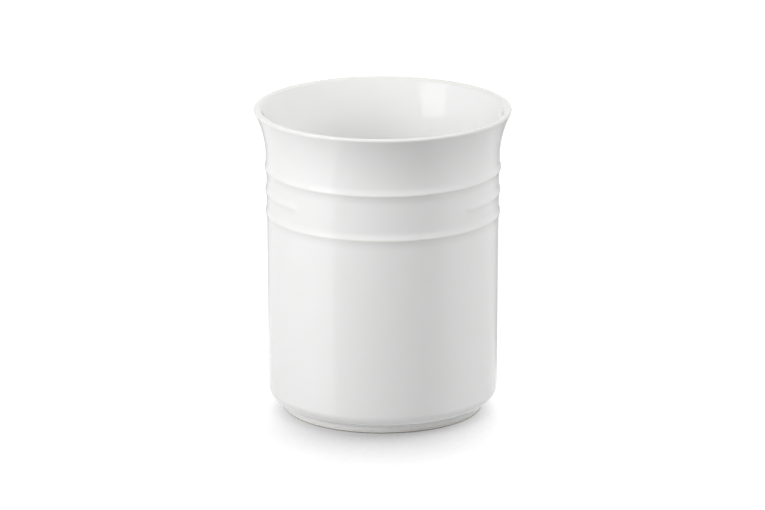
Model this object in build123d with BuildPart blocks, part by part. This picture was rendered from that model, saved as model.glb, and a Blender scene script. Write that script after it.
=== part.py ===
"""A round glazed stoneware jar for kitchen utensils.

The fired body carries three raised rings under a trumpet-flared rim and stands on a narrow foot ring.
The middle ring stops short of a smooth panel on the front, which faces -Y.
A glaze skin covers the body inside and out, apart from the foot ring that touches the table.
The origin is the centre of the foot on the table, +Z is up, and sizes are in millimetres over the glaze.
"""

from build123d import *
import math
import os

# Overall: the height, and the diameter over the smooth panel between the rings
height = 150.0
panel_diameter = 112.7

# Wall, which opens slightly from the heel to the neck: how far each place lies inside or outside the panel
heel_setback = 0.65
wall_top_setback = 0.2
neck_rise = 0.37
wall_thickness = 5.4
floor_thickness = 5.6
floor_corner_radius = 9.0

# Flared rim: how far it overhangs the panel, the flares measured down from its top, and the lip across its top
rim_overhang = 5.85
flare_height = 22.6
bore_flare_height = 32.0
lip_outer_radius = 1.2
lip_land = 0.5
lip_inner_radius = 2.2

# Three raised rings: the plain stretch of wall above each of them, and the shape of one ring
neck_length = 1.6
upper_groove = 1.6
lower_groove = 1.0
ring_rise = 0.75
upper_ring_rise = 1.1
ring_flank_above = 4.6
ring_flank_below = 5.2
ring_crest_radius = 1.5

# Front panel, where the middle ring is missing
panel_half_angle = 46.0
panel_fade_radius = 22.0
panel_fade_angle = 30.0

# Foot and heel
foot_setback = 7.65
foot_width = 4.6
foot_height = 3.7
foot_edge_radius = 0.8
foot_fillet = 1.0
underside_recess = 2.4
underside_fillet = 1.2
heel_height = 5.8
heel_radius = 7.0

# Glaze
glaze_thickness = 0.4
glaze_line_height = 1.3

# Radii and heights that follow from the sizes above
panel_radius = panel_diameter / 2
heel_edge = panel_radius - heel_setback
neck_radius = panel_radius + neck_rise
rim_radius = panel_radius + rim_overhang
bore_radius = panel_radius - wall_thickness
foot_outer = panel_radius - foot_setback
foot_inner = foot_outer - foot_width
floor_height = underside_recess + floor_thickness
flare_bottom = height - flare_height
upper_ring_height = flare_bottom - neck_length - ring_flank_above
middle_ring_height = upper_ring_height - ring_flank_below - upper_groove - ring_flank_above
lower_ring_height = middle_ring_height - ring_flank_below - lower_groove - ring_flank_above

# Points of the half section, as (radius, height)
underside_corner = (foot_inner, underside_recess)
foot_inner_edge = (foot_inner, 0)
foot_outer_edge = (foot_outer, 0)
foot_top = (foot_outer, foot_height)
heel = (heel_edge, heel_height)
wall_top = (panel_radius - wall_top_setback, lower_ring_height - ring_flank_below)
lower_crest = (panel_radius + ring_rise, lower_ring_height)
panel_bottom = (panel_radius, lower_ring_height + ring_flank_above)
middle_bottom = (panel_radius, middle_ring_height - ring_flank_below)
middle_crest = (panel_radius + ring_rise, middle_ring_height)
middle_top = (panel_radius, middle_ring_height + ring_flank_above)
panel_top = (panel_radius, upper_ring_height - ring_flank_below)
upper_crest = (panel_radius + upper_ring_rise, upper_ring_height)
neck_bottom = (neck_radius, upper_ring_height + ring_flank_above)
flare_start = (neck_radius, flare_bottom)
floor_corner = (heel_edge - wall_thickness, floor_height)
bore_flare_start = (bore_radius, height - bore_flare_height)
outer_round = (rim_radius - lip_outer_radius, height - lip_outer_radius)
inner_round = (outer_round[0] - lip_land, height - lip_inner_radius)


def flare_touch(start, centre, radius):
    """Where the arc that leaves start straight up touches the lip round, whose radius is negative on the inside."""
    across = start[0] - centre[0]
    rise = start[1] - centre[1]
    flare_radius = (across**2 + rise**2 - radius**2) / (2 * (radius - across))
    share = flare_radius / (flare_radius + radius)
    x = start[0] + flare_radius - (across + flare_radius) * share
    return x, start[1] - rise * share


lip_outside = flare_touch(flare_start, outer_round, lip_outer_radius)
lip_inside = flare_touch(bore_flare_start, inner_round, -lip_inner_radius)
up = (0, 1)
down = (0, -1)
inward = (-1, 0)
outward = (1, 0)

# Half section of the finished jar, with all three rings
with BuildSketch(Plane.XZ) as jar_section:
    with BuildLine():
        Polyline((0, underside_recess), underside_corner, foot_inner_edge, foot_outer_edge, foot_top, heel, wall_top)
        TangentArc(wall_top, lower_crest, tangent=up)
        TangentArc(panel_bottom, lower_crest, tangent=down)
        Line(panel_bottom, middle_bottom)
        TangentArc(middle_bottom, middle_crest, tangent=up)
        TangentArc(middle_top, middle_crest, tangent=down)
        Line(middle_top, panel_top)
        TangentArc(panel_top, upper_crest, tangent=up)
        TangentArc(neck_bottom, upper_crest, tangent=down)
        Line(neck_bottom, flare_start)
        TangentArc(flare_start, lip_outside, tangent=up)
        TangentArc((outer_round[0], height), lip_outside, tangent=outward)
        Line((outer_round[0], height), (inner_round[0], height))
        TangentArc((inner_round[0], height), lip_inside, tangent=inward)
        TangentArc(bore_flare_start, lip_inside, tangent=up)
        Polyline(bore_flare_start, floor_corner, (0, floor_height), (0, underside_recess))
    make_face()
    for corner, radius in (
        (underside_corner, underside_fillet),
        (foot_inner_edge, foot_edge_radius),
        (foot_outer_edge, foot_edge_radius),
        (foot_top, foot_fillet),
        (heel, heel_radius),
        (lower_crest, ring_crest_radius),
        (middle_crest, ring_crest_radius),
        (upper_crest, ring_crest_radius),
        (floor_corner, floor_corner_radius),
    ):
        fillet(jar_section.vertices().sort_by_distance(corner)[0], radius)

# The part of that section that the glaze leaves bare
with BuildSketch(Plane.XZ) as bare_foot:
    add(jar_section.sketch_local)
    with Locations((foot_outer - foot_width / 2, 0)):
        Rectangle(2 * foot_width, 2 * glaze_line_height, mode=Mode.INTERSECT)

# Half section of the fired clay: one glaze thickness inside the jar, and full size where it is bare
with BuildSketch(Plane.XZ) as body_section:
    add(jar_section.sketch_local)
    mirror(about=Plane.YZ)
    offset(amount=-glaze_thickness)
    split(bisect_by=Plane.YZ)
    add(bare_foot.sketch_local)

# Plan of the front panel: along the wall, then curving out through the ring at both ends
with BuildSketch(Plane.XY.offset(middle_bottom[1])) as panel_plan:
    with BuildLine():
        wall = CenterArc((0, 0), panel_radius, -90 - panel_half_angle, 2 * panel_half_angle)
        left = JernArc(wall @ 0, (wall % 0) * -1, panel_fade_radius, panel_fade_angle)
        right = JernArc(wall @ 1, wall % 1, panel_fade_radius, -panel_fade_angle)
        reach = -rim_radius
        Polyline(left @ 1, ((left @ 1).X, reach), ((right @ 1).X, reach), right @ 1)
    make_face()

# The fired clay
with BuildPart() as stoneware_body:
    add(body_section.sketch)
    revolve(axis=Axis.Z)
    with BuildSketch(Plane.XY.offset(middle_bottom[1])):
        add(panel_plan.sketch_local)
        offset(amount=glaze_thickness)
    extrude(amount=middle_top[1] - middle_bottom[1], mode=Mode.SUBTRACT)

# The patch of glaze on the underside, inside the foot ring
with BuildPart() as underside_glaze:
    with BuildSketch(Plane.XZ):
        add(jar_section.sketch_local)
        with Locations((foot_inner / 2, 0)):
            Rectangle(foot_inner + foot_width, 2 * (underside_recess + glaze_thickness), mode=Mode.INTERSECT)
        add(body_section.sketch_local, mode=Mode.SUBTRACT)
    revolve(axis=Axis.Z)

# The main coat of glaze, from the outside of the foot over the lip to the middle of the floor
with BuildPart() as glaze_coat:
    add(jar_section.sketch)
    revolve(axis=Axis.Z)
    add(panel_plan.sketch)
    extrude(amount=middle_top[1] - middle_bottom[1], mode=Mode.SUBTRACT)
    add(stoneware_body.part, mode=Mode.SUBTRACT)
    add(underside_glaze.part, mode=Mode.SUBTRACT)

os.makedirs("parts", exist_ok=True)
stoneware_body.part.label = "stoneware_body"
export_step(stoneware_body.part, "parts/stoneware_body.step")
glaze_coat.part.label = "glaze_coat"
export_step(glaze_coat.part, "parts/glaze_coat.step")
underside_glaze.part.label = "underside_glaze"
export_step(underside_glaze.part, "parts/underside_glaze.step")
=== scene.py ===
import bmesh
import bpy
import math
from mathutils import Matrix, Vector


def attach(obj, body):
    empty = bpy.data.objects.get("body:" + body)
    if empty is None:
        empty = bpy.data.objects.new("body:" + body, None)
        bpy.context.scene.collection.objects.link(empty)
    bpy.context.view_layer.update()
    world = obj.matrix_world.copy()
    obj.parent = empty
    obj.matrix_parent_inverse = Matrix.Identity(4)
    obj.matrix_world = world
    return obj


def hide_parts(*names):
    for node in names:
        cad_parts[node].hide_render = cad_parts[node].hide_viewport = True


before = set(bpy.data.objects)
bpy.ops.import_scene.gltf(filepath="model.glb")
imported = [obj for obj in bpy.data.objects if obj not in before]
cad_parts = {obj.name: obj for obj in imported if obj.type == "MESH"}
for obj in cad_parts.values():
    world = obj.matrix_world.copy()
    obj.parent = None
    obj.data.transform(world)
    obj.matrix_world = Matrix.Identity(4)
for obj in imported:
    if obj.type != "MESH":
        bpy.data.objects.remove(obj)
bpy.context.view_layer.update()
mm = 0.001
sameSpot = 0.002 * mm            # vertices nearer than this stand for one place
seamGap = 0.003 * mm             # over this the seam and the pole of a turned piece close
facetTurn = 4                    # degrees that each facet of a rounded corner turns
fewestFacets = 3


def hexToLinear(code):
    channels = [int(code[i:i + 2], 16) / 255 for i in (1, 3, 5)]
    return [c / 12.92 if c <= 0.04045 else ((c + 0.055) / 1.055) ** 2.4 for c in channels] + [1.0]


def addNode(tree, kind, settings=None, links=None):
    # settings: socket or property name -> value; links: socket name or number -> output it takes
    node = tree.nodes.new(kind)
    for key, value in (settings or {}).items():
        if isinstance(key, str) and hasattr(node, key):
            setattr(node, key, value)
        else:
            node.inputs[key].default_value = value
    for key, source in (links or {}).items():
        tree.links.new(source, node.inputs[key])
    return node


def newMaterial(name):
    material = bpy.data.materials.new(name)
    material.use_nodes = True
    material.node_tree.nodes.clear()
    return material, material.node_tree


def deselectAll():
    if bpy.context.mode != "OBJECT":
        bpy.ops.object.mode_set(mode="OBJECT")
    bpy.ops.object.select_all(action="DESELECT")


def selectVerts(test):
    # picks vertices of the mesh in edit mode by their place
    bpy.ops.mesh.select_all(action="DESELECT")
    mesh = bpy.context.object.data
    edit = bmesh.from_edit_mesh(mesh)
    for vert in edit.verts:
        vert.select = test(vert.co)
    edit.select_flush(True)
    bmesh.update_edit_mesh(mesh)


def drawSection(name, corners):
    # a chain of corners in the XZ plane, each (radius, height, rounding) in mm, rounded one by one
    deselectAll()
    bpy.ops.mesh.primitive_plane_add(size=mm, location=(0, 0, 0))
    piece = bpy.context.object
    piece.name = name
    bpy.ops.object.mode_set(mode="EDIT")
    bpy.ops.mesh.select_mode(type="VERT")
    bpy.ops.mesh.merge(type="CENTER")
    bpy.ops.transform.translate(value=(corners[0][0] * mm, 0, corners[0][1] * mm))
    for last, corner in zip(corners, corners[1:]):
        move = ((corner[0] - last[0]) * mm, 0, (corner[1] - last[1]) * mm)
        bpy.ops.mesh.extrude_vertices_move(TRANSFORM_OT_translate={"value": move})
    for before, corner, after in zip(corners, corners[1:], corners[2:]):
        if corner[2]:
            turn = Vector((corner[0] - before[0], corner[1] - before[1])).angle(
                Vector((after[0] - corner[0], after[1] - corner[1])))
            place = Vector((corner[0] * mm, 0, corner[1] * mm))
            selectVerts(lambda co: (co - place).length < sameSpot)
            bpy.ops.mesh.bevel(affect="VERTICES", offset_type="OFFSET", profile=0.5,
                               offset=corner[2] * mm * math.tan(turn / 2),
                               segments=max(fewestFacets, round(math.degrees(turn) / facetTurn)))
    return piece


def divideRuns(longest):
    # cuts each edge of the section that is longer than this many mm into equal lengths
    for cuts in (32, 16, 8, 4, 2):
        mesh = bpy.context.object.data
        bpy.ops.mesh.select_all(action="DESELECT")
        edit = bmesh.from_edit_mesh(mesh)
        hit = False
        for edge in edit.edges:
            edge.select = edge.calc_length() > longest * mm * cuts
            hit = hit or edge.select
        edit.select_flush_mode()
        bmesh.update_edit_mesh(mesh)
        if hit:
            bpy.ops.mesh.subdivide(number_cuts=cuts - 1)


def turnOnWheel(steps):
    # spins the open section round the Z axis, then closes the seam and the pole
    bpy.ops.mesh.select_all(action="SELECT")
    bpy.ops.mesh.spin(steps=steps, angle=2 * math.pi, center=(0, 0, 0), axis=(0, 0, 1))
    bpy.ops.mesh.select_all(action="SELECT")
    bpy.ops.mesh.remove_doubles(threshold=seamGap)
    bpy.ops.mesh.select_all(action="SELECT")
    bpy.ops.mesh.normals_make_consistent(inside=False)


def faceTheAir(piece, airSide):
    # turns the sheet over if the face farthest out looks the wrong way
    bpy.ops.object.mode_set(mode="OBJECT")
    face = max(piece.data.polygons, key=lambda f: f.center.x)
    if face.normal.x * airSide < 0:
        bpy.ops.object.mode_set(mode="EDIT")
        bpy.ops.mesh.select_all(action="SELECT")
        bpy.ops.mesh.flip_normals()
        bpy.ops.object.mode_set(mode="OBJECT")


def applyModifier(piece, kind, settings):
    bpy.context.view_layer.objects.active = piece
    bpy.ops.object.modifier_add(type=kind)
    modifier = piece.modifiers[-1]
    for key, value in settings.items():
        setattr(modifier, key, value)
    bpy.ops.object.modifier_apply(modifier=modifier.name)


def finishPiece(piece, material, node):
    deselectAll()
    piece.select_set(True)
    bpy.context.view_layer.objects.active = piece
    bpy.ops.object.shade_smooth()
    piece.data.materials.clear()
    piece.data.materials.append(material)
    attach(piece, "root")
    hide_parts(node)


# the coat of glaze that shows: foot, wall, rings, flared lip, bore and floor, as one skin
glazeCoat = {
    "steps": 192,
    "thickness": 0.4,
    "longestRun": 4.5,           # longest straight run of the section between two vertices
    "panelRadius": 56.35,
    "panelHalfAngle": 45.0,      # degrees from the front to where the middle ring begins to rise
    "panelFadeEnd": 48.8,        # and to where it stands at its full height
    "middleRing": (104.4, 114.1),
    "unevenness": 0.12,          # how far the hand-dipped surface wanders from true
    "unevenScale": 30.0,
    "section": [
        # radius, height, rounding
        (48.50, 1.30, 0),        # rolled edge of the glaze above the bare foot
        (48.76, 1.42, 0.15),
        (48.70, 2.00, 0.6),
        (48.70, 3.90, 0.8),
        (55.70, 6.31, 6.0),
        (56.15, 93.80, 0),
        (56.15, 96.20, 11.7),    # lowest ring, where the glaze sags a little below the clay's crest
        (57.06, 98.62, 2.2),
        (56.35, 101.00, 11.2),
        (56.35, 107.00, 11.7),   # middle ring
        (57.06, 109.42, 2.2),
        (56.35, 111.75, 11.2),
        (56.35, 118.42, 10.1),   # upper ring
        (57.40, 120.72, 2.2),
        (56.72, 123.20, 11.2),
        (56.72, 138.49, 43.3),   # flare and lip
        (62.98, 150.00, 1.2),
        (59.17, 150.00, 2.2),
        (50.95, 134.35, 66.3),
        (50.30, 8.00, 9.0),      # bore and floor
        (0.00, 8.00, 0),
    ],
}


def pressPanel(piece, spec):
    # pushes the middle ring back to the panel, fully across the front and fading at both ends
    mesh = piece.data
    edit = bmesh.from_edit_mesh(mesh)
    low, high = (h * mm for h in spec["middleRing"])
    panel = spec["panelRadius"] * mm
    groups = {}
    for vert in edit.verts:
        radius = math.hypot(vert.co.x, vert.co.y)
        if not (low < vert.co.z < high and radius > panel + sameSpot):
            continue
        angle = abs(math.degrees(math.atan2(vert.co.x, -vert.co.y)))
        if angle >= spec["panelFadeEnd"]:
            continue
        share = max(0.0, (angle - spec["panelHalfAngle"]) / (spec["panelFadeEnd"] - spec["panelHalfAngle"]))
        share = share * share * (3 - 2 * share)
        groups.setdefault((round(vert.co.z, 6), round(share, 3), round(radius, 6)), []).append(vert.index)
    for (height, share, radius), members in groups.items():
        bpy.ops.mesh.select_all(action="DESELECT")
        edit = bmesh.from_edit_mesh(mesh)
        edit.verts.ensure_lookup_table()
        for index in members:
            edit.verts[index].select = True
        bmesh.update_edit_mesh(mesh)
        factor = (panel + (radius - panel) * share) / radius
        bpy.ops.transform.resize(value=(factor, factor, 1), center_override=(0, 0, height))


glazeLook = {
    "white": "#F0F0F0",
    "shade": "#EEEEED",
    "thin": "#EBE9E4",
    "crests": ((98.6, 0.7), (120.7, 0.8), (149.6, 1.2)),     # height of each thin edge and its reach, mm
    "roughness": (0.015, 0.03),
    "cloudSize": 25.0,           # pooling of a dipped glaze, a few centimetres across
    "peelSize": 3.5,             # orange peel of a fired glaze
    "peelDepth": 0.02,
    "peelStrength": 0.15,
}


def whiteGlaze(spec):
    # White gloss glaze, dipped and fired on stoneware at about 1200 C. The eye sees an even cool white with a
    # clear, wet reflection, a faint orange peel, and a slightly warmer line where the glaze runs thin on an edge.
    material, tree = newMaterial("white gloss stoneware glaze")
    place = addNode(tree, "ShaderNodeTexCoord").outputs["Object"]
    height = addNode(tree, "ShaderNodeSeparateXYZ", links={0: place}).outputs["Z"]
    cloud = addNode(tree, "ShaderNodeTexNoise", {"Scale": 1 / (spec["cloudSize"] * mm), "Detail": 2.0},
                    {"Vector": place}).outputs[0]
    edges = None
    for crest, reach in spec["crests"]:
        away = addNode(tree, "ShaderNodeMath", {"operation": "SUBTRACT", 1: crest * mm}, {0: height}).outputs[0]
        away = addNode(tree, "ShaderNodeMath", {"operation": "ABSOLUTE"}, {0: away}).outputs[0]
        line = addNode(tree, "ShaderNodeMapRange", {"interpolation_type": "SMOOTHSTEP", "From Min": 0.0,
                       "From Max": reach * mm, "To Min": 1.0, "To Max": 0.0}, {"Value": away}).outputs[0]
        edges = line if edges is None else addNode(tree, "ShaderNodeMath", {"operation": "MAXIMUM"},
                                                   {0: edges, 1: line}).outputs[0]
    thin = addNode(tree, "ShaderNodeMath", {"operation": "MULTIPLY"}, {0: edges, 1: cloud}).outputs[0]
    tone = addNode(tree, "ShaderNodeMix", {"data_type": "RGBA"}, {0: cloud})
    tone.inputs[6].default_value = hexToLinear(spec["shade"])
    tone.inputs[7].default_value = hexToLinear(spec["white"])
    colour = addNode(tree, "ShaderNodeMix", {"data_type": "RGBA"}, {0: thin, 6: tone.outputs[2]})
    colour.inputs[7].default_value = hexToLinear(spec["thin"])
    gloss = addNode(tree, "ShaderNodeMapRange", {"To Min": spec["roughness"][0], "To Max": spec["roughness"][1]},
                    {"Value": cloud})
    peel = addNode(tree, "ShaderNodeTexNoise", {"Scale": 1 / (spec["peelSize"] * mm), "Detail": 1.0},
                   {"Vector": place})
    bump = addNode(tree, "ShaderNodeBump", {"Strength": spec["peelStrength"], "Distance": spec["peelDepth"] * mm},
                   {"Height": peel.outputs[0]})
    shader = addNode(tree, "ShaderNodeBsdfPrincipled", {"IOR": 1.5},
                     {"Base Color": colour.outputs[2], "Roughness": gloss.outputs[0], "Normal": bump.outputs[0]})
    addNode(tree, "ShaderNodeOutputMaterial", links={"Surface": shader.outputs[0]})
    return material


bareClay = {
    "light": "#EEECE8",
    "dark": "#E6E3DD",
    "grit": "#C4BDB2",
    # dark grey of the painted contact shadow along the foot's outer edge, where it meets the table
    "paintedContactShade": "#544F49",
    "gritSize": 0.6,             # sand in the clay
    "gritLevels": (0.62, 0.70),  # only the peaks of the noise show as darker grains
    "gritDepth": 0.05,
    "gritStrength": 0.5,
    "driftSize": 18.0,           # slow change of tone from the kiln
    "paintedContactShadeHeight": (0.25, 0.8),   # the painted contact shadow at the table fades out between these heights
    "paintedContactShadeRadius": (48.0, 48.15), # and keeps to the outer edge, off the flat face
    # how strongly the painted contact shadow darkens the clay
    "paintedContactShadeShare": 0.95,
    "roughness": 0.85,
}


def bareStoneware(spec):
    # Unglazed fired white stoneware, wiped with a sponge. The eye sees a matt off-white clay with fine darker
    # grit,
    # and a painted contact shadow: a dark grey line along the outer edge of the foot where it meets the table.
    material, tree = newMaterial("bare fired stoneware")
    place = addNode(tree, "ShaderNodeTexCoord").outputs["Object"]
    grit = addNode(tree, "ShaderNodeTexNoise", {"Scale": 1 / (spec["gritSize"] * mm), "Detail": 3.0},
                   {"Vector": place})
    drift = addNode(tree, "ShaderNodeTexNoise", {"Scale": 1 / (spec["driftSize"] * mm), "Detail": 2.0},
                    {"Vector": place})
    speck = addNode(tree, "ShaderNodeMapRange", {"From Min": spec["gritLevels"][0],
                    "From Max": spec["gritLevels"][1]}, {"Value": grit.outputs[0]})
    clay = addNode(tree, "ShaderNodeMix", {"data_type": "RGBA"}, {0: drift.outputs[0]})
    clay.inputs[6].default_value = hexToLinear(spec["light"])
    clay.inputs[7].default_value = hexToLinear(spec["dark"])
    gritty = addNode(tree, "ShaderNodeMix", {"data_type": "RGBA"}, {0: speck.outputs[0], 6: clay.outputs[2]})
    gritty.inputs[7].default_value = hexToLinear(spec["grit"])
    height = addNode(tree, "ShaderNodeSeparateXYZ", links={0: place}).outputs["Z"]
    # painted contact shadow: the clay is darkened towards the table along the outer edge of the foot
    low = addNode(tree, "ShaderNodeMapRange", {"From Min": spec["paintedContactShadeHeight"][0] * mm,
                  "From Max": spec["paintedContactShadeHeight"][1] * mm, "To Min": spec["paintedContactShadeShare"], "To Max": 0.0},
                  {"Value": height})
    away = addNode(tree, "ShaderNodeVectorMath", {"operation": "LENGTH"}, {0: place}).outputs["Value"]
    outer = addNode(tree, "ShaderNodeMapRange", {"From Min": spec["paintedContactShadeRadius"][0] * mm,
                    "From Max": spec["paintedContactShadeRadius"][1] * mm}, {"Value": away})
    paintedContactShade = addNode(tree, "ShaderNodeMath", {"operation": "MULTIPLY"}, {0: low.outputs[0], 1: outer.outputs[0]})
    colour = addNode(tree, "ShaderNodeMix", {"data_type": "RGBA"}, {0: paintedContactShade.outputs[0], 6: gritty.outputs[2]})
    colour.inputs[7].default_value = hexToLinear(spec["paintedContactShade"])
    bump = addNode(tree, "ShaderNodeBump", {"Strength": spec["gritStrength"], "Distance": spec["gritDepth"] * mm},
                   {"Height": grit.outputs[0]})
    shader = addNode(tree, "ShaderNodeBsdfPrincipled", {"IOR": 1.5, "Roughness": spec["roughness"]},
                     {"Base Color": colour.outputs[2], "Normal": bump.outputs[0]})
    addNode(tree, "ShaderNodeOutputMaterial", links={"Surface": shader.outputs[0]})
    return material


glaze = whiteGlaze(glazeLook)
clay = bareStoneware(bareClay)

coat = drawSection("glazeSkin", glazeCoat["section"])
divideRuns(glazeCoat["longestRun"])
turnOnWheel(glazeCoat["steps"])
pressPanel(coat, glazeCoat)
faceTheAir(coat, 1)
wander = bpy.data.textures.new("wander", "CLOUDS")
wander.noise_scale = glazeCoat["unevenScale"] * mm
wander.noise_depth = 0
applyModifier(coat, "DISPLACE", {"texture": wander, "texture_coords": "LOCAL", "mid_level": 1.0,
                                 "strength": glazeCoat["unevenness"] * mm})
applyModifier(coat, "SOLIDIFY", {"thickness": glazeCoat["thickness"] * mm, "offset": -1.0})
finishPiece(coat, glaze, "glaze_coat")
print("glaze skin: %d faces" % len(coat.data.polygons))

# the patch of glaze inside the foot ring
undersidePatch = {
    "steps": 96,
    "thickness": 0.4,
    "longestRun": 3.0,
    "section": [
        (0.00, 2.40, 0),
        (44.10, 2.40, 1.2),
        (44.10, 1.30, 0),
    ],
}
patch = drawSection("undersideSkin", undersidePatch["section"])
divideRuns(undersidePatch["longestRun"])
turnOnWheel(undersidePatch["steps"])
faceTheAir(patch, -1)
applyModifier(patch, "SOLIDIFY", {"thickness": undersidePatch["thickness"] * mm, "offset": -1.0})
finishPiece(patch, glaze, "underside_glaze")
print("underside skin: %d faces" % len(patch.data.polygons))

# the fired body shows only at the foot, where its own solid is right
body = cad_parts["stoneware_body"]
for bodySlot in body.material_slots:
    bodySlot.material = clay
print("clay set on the fired body")

# studio: a white table, one window softbox, soft fills and two cards that only reflections see
studio = {
    "floorSize": 8.0,
    "table": {
        "paper": "#858585",              # what the lamps light of it, under its glow
        "glow": 0.88,
        "glowReach": 160,                # how far off, in mm, the jar still keeps the glow from the table
        "glowTilt": 75,                  # degrees by which the glow's sky leans to the rear
        "glowFrom": 0.19,
        "glowTo": 0.755,
        "whiteRadii": (300, 1200),       # between these the glow grows to full white
        "bounce": (0.9, 0.565),          # how much light it throws back close to the foot, and elsewhere
        "bounceRadii": (50, 55),
    },
    "ambient": 0.0,                      # what the world adds to the lamps
    "aimHeight": 75,                     # the lamps look at the middle of the jar
    "cardSize": 4.0,
    "cardHeight": 0.2,                   # of the lower card above the table, in mm
    "cardStep": 0.1,                     # and from there to the upper one
    "cardFocus": (0, -32),               # lines through this point show as upright lines in the round wall
    # azimuths between which each card fades in and out, how far from its centre it begins, and its grey
    "blackCard": {"from": (-54, -46), "to": (42, 78), "near": (62, 72), "centre": -10, "value": 0.02},
    "greyCard": {"from": (133, 150), "to": (196, 214), "near": (50, 58), "centre": 0, "value": 0.6},
    "lamps": [
        # name, azimuth, elevation, distance, width, height, radiance, shows in reflections
        ("windowSoftbox", -57.5, 25, 0.45, 0.2, 0.33, 1.75, True),
        ("leftSoftbox", -60, 28, 1.6, 1.2, 1.2, 1.75, False),
        ("leftHighFill", -40, 45, 1.6, 1.2, 1.2, 1.21, False),
        ("leftEdgeFill", -78, 22, 1.6, 1.0, 1.4, 1.0, False),
        ("frontFill", 20, 38, 1.6, 1.2, 1.2, 1.7, False),
        ("rightSoftbox", 95, 35, 1.6, 1.2, 1.2, 3.22, False),
        ("backFill", 180, 40, 1.6, 1.6, 1.0, 1.35, False),
        ("topFill", 0, 88, 1.6, 1.4, 1.4, 0.12, False),
    ],
}


def seenDirectly(tree):
    # 1 for what the camera, a reflection or a clear material sees
    path = addNode(tree, "ShaderNodeLightPath")
    pair = addNode(tree, "ShaderNodeMath", {"operation": "MAXIMUM"},
                   {0: path.outputs["Is Camera Ray"], 1: path.outputs["Is Glossy Ray"]})
    return addNode(tree, "ShaderNodeMath", {"operation": "MAXIMUM"},
                   {0: pair.outputs[0], 1: path.outputs["Is Transmission Ray"]}).outputs[0]


def whiteTable(spec):
    # Seamless white paper, whitest far off, with its light from behind. The eye sees pure white round a soft
    # shadow that is darkest at the foot and fades out towards the viewer. Reflections see it plain white.
    material, tree = newMaterial("seamless white table")
    place = addNode(tree, "ShaderNodeTexCoord").outputs["Object"]
    away = addNode(tree, "ShaderNodeVectorMath", {"operation": "LENGTH"}, {0: place}).outputs["Value"]
    near, beyond = spec["bounceRadii"]
    pool = addNode(tree, "ShaderNodeMapRange", {"From Min": near * mm, "From Max": beyond * mm,
                   "To Min": spec["bounce"][0], "To Max": spec["bounce"][1]}, {"Value": away})
    bounced = addNode(tree, "ShaderNodeBsdfDiffuse", links={"Color": pool.outputs[0]})
    matt = addNode(tree, "ShaderNodeBsdfDiffuse", {"Color": hexToLinear(spec["paper"])})
    tilt = math.radians(spec["glowTilt"])
    rear = addNode(tree, "ShaderNodeCombineXYZ", {"Y": math.sin(tilt), "Z": math.cos(tilt)})
    sky = addNode(tree, "ShaderNodeAmbientOcclusion", {"Distance": spec["glowReach"] * mm},
                  {"Normal": rear.outputs[0]})
    near, beyond = spec["whiteRadii"]
    far = addNode(tree, "ShaderNodeMapRange", {"From Min": near * mm, "From Max": beyond * mm,
                  "To Min": spec["glow"], "To Max": 1.0}, {"Value": away})
    glow = addNode(tree, "ShaderNodeMapRange", {"From Min": spec["glowFrom"], "From Max": spec["glowTo"]},
                   {"Value": sky.outputs["AO"], "To Max": far.outputs[0]})
    camera = addNode(tree, "ShaderNodeLightPath").outputs["Is Camera Ray"]
    level = addNode(tree, "ShaderNodeMix", {2: spec["glow"]}, {0: camera, 3: glow.outputs[0]})
    light = addNode(tree, "ShaderNodeEmission", {"Color": (1, 1, 1, 1)}, {"Strength": level.outputs[0]})
    lit = addNode(tree, "ShaderNodeAddShader", links={0: matt.outputs[0], 1: light.outputs[0]})
    mixed = addNode(tree, "ShaderNodeMixShader",
                    links={0: seenDirectly(tree), 1: bounced.outputs[0], 2: lit.outputs[0]})
    addNode(tree, "ShaderNodeOutputMaterial", links={"Surface": mixed.outputs[0]})
    return material


def reflectorCard(name, card, focus):
    # Card on the table, of one grey, whose two long edges fade out between two azimuths and whose near edge
    # stops short of the jar
    material, tree = newMaterial(name)
    place = addNode(tree, "ShaderNodeTexCoord").outputs["Object"]
    middle = math.radians((card["from"][0] + card["to"][1]) / 2)
    turned = addNode(tree, "ShaderNodeMapping", {"vector_type": "TEXTURE",
                     "Location": (focus[0] * mm, focus[1] * mm, 0), "Rotation": (0, 0, middle - math.pi / 2)},
                     {"Vector": place})
    split = addNode(tree, "ShaderNodeSeparateXYZ", links={0: turned.outputs[0]})
    angle = addNode(tree, "ShaderNodeMath", {"operation": "ARCTAN2"},
                    {0: split.outputs["Y"], 1: split.outputs["X"]})
    cover = None
    for outer, inner in (card["from"], card["to"][::-1]):
        fade = addNode(tree, "ShaderNodeMapRange", {"interpolation_type": "SMOOTHSTEP",
                       "From Min": math.radians(outer) - middle, "From Max": math.radians(inner) - middle},
                       {"Value": angle.outputs[0]}).outputs[0]
        cover = fade if cover is None else addNode(tree, "ShaderNodeMath", {"operation": "MINIMUM"},
                                                   {0: cover, 1: fade}).outputs[0]
    away = addNode(tree, "ShaderNodeVectorMath", {"operation": "DISTANCE", 1: (card["centre"] * mm, 0, 0)},
                   {0: place})
    clear = addNode(tree, "ShaderNodeMapRange", {"From Min": card["near"][0] * mm,
                    "From Max": card["near"][1] * mm}, {"Value": away.outputs["Value"]})
    cover = addNode(tree, "ShaderNodeMath", {"operation": "MULTIPLY"}, {0: cover, 1: clear.outputs[0]}).outputs[0]
    grey = addNode(tree, "ShaderNodeEmission", {"Color": (1, 1, 1, 1), "Strength": card["value"]})
    nothing = addNode(tree, "ShaderNodeBsdfTransparent")
    mixed = addNode(tree, "ShaderNodeMixShader", links={0: cover, 1: nothing.outputs[0], 2: grey.outputs[0]})
    addNode(tree, "ShaderNodeOutputMaterial", links={"Surface": mixed.outputs[0]})
    return material


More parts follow.
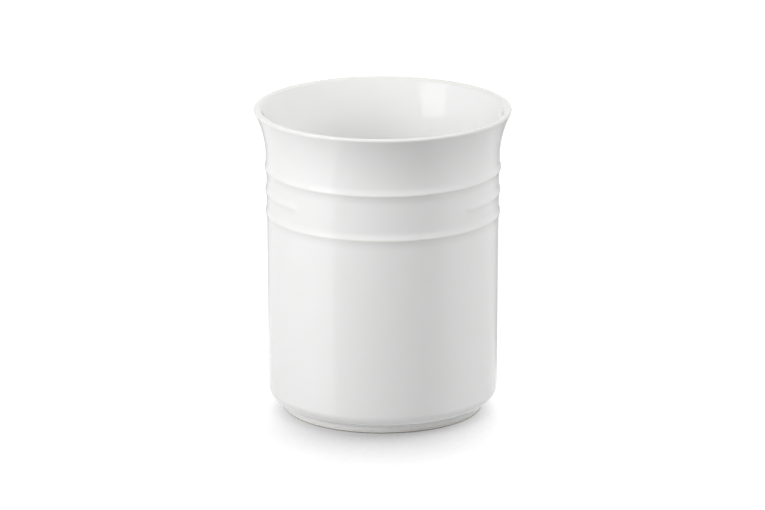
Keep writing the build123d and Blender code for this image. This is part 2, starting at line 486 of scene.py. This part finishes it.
deselectAll()
bpy.ops.mesh.primitive_plane_add(size=studio["floorSize"], location=(0, 0, 0))
floor = bpy.context.object
floor.name = "tableTop"
floor.data.materials.append(whiteTable(studio["table"]))
for level, name in enumerate(("blackCard", "greyCard")):
    deselectAll()
    bpy.ops.mesh.primitive_plane_add(size=studio["cardSize"], location=(0, 0, 0))
    card = bpy.context.object
    card.name = name
    bpy.ops.object.mode_set(mode="EDIT")
    bpy.ops.transform.translate(value=(0, 0, (studio["cardHeight"] + studio["cardStep"] * level) * mm))
    bpy.ops.object.mode_set(mode="OBJECT")
    card.data.materials.append(reflectorCard(name, studio[name], studio["cardFocus"]))
    card.visible_camera = card.visible_diffuse = card.visible_transmission = card.visible_shadow = False

world = bpy.data.worlds.new("pale studio")
bpy.context.scene.world = world
world.use_nodes = True
worldTree = world.node_tree
worldTree.nodes.clear()
dim = addNode(worldTree, "ShaderNodeBackground", {"Color": (1, 1, 1, 1), "Strength": studio["ambient"]})
white = addNode(worldTree, "ShaderNodeBackground", {"Color": (1, 1, 1, 1), "Strength": 1.0})
mixed = addNode(worldTree, "ShaderNodeMixShader",
                links={0: seenDirectly(worldTree), 1: dim.outputs[0], 2: white.outputs[0]})
addNode(worldTree, "ShaderNodeOutputWorld", links={"Surface": mixed.outputs[0]})

aim = Vector((0, 0, studio["aimHeight"] * mm))
for name, azimuth, elevation, distance, width, height, radiance, shows in studio["lamps"]:
    # azimuth from the front (-Y) towards +X; radiance 1 is white
    a, e = math.radians(azimuth), math.radians(elevation)
    place = aim + distance * Vector((math.sin(a) * math.cos(e), -math.cos(a) * math.cos(e), math.sin(e)))
    turn = (aim - place).to_track_quat("-Z", "Y").to_euler()
    bpy.ops.object.light_add(type="AREA", location=place, rotation=turn)
    lamp = bpy.context.object
    lamp.name = name
    lamp.data.shape = "RECTANGLE"
    lamp.data.size = width
    lamp.data.size_y = height
    lamp.data.energy = radiance * math.pi * width * height
    lamp.visible_glossy = shows

# camera at the photograph's angle, from the ellipses of rim and heel
view = {
    "place": (-0.00019, -2.6, 0.82047),
    "downwards": 15.9845,        # degrees below level
    "sensor": 36,
    "lens": 261.576,
    "clipEnd": 50,
}
bpy.ops.object.camera_add(location=view["place"], rotation=(math.radians(90 - view["downwards"]), 0, 0))
camera = bpy.context.object
camera.name = "productCamera"
camera.data.sensor_width = view["sensor"]
camera.data.lens = view["lens"]
camera.data.clip_end = view["clipEnd"]
bpy.context.scene.camera = camera
bpy.context.scene.view_settings.view_transform = "Standard"
print("studio ready")
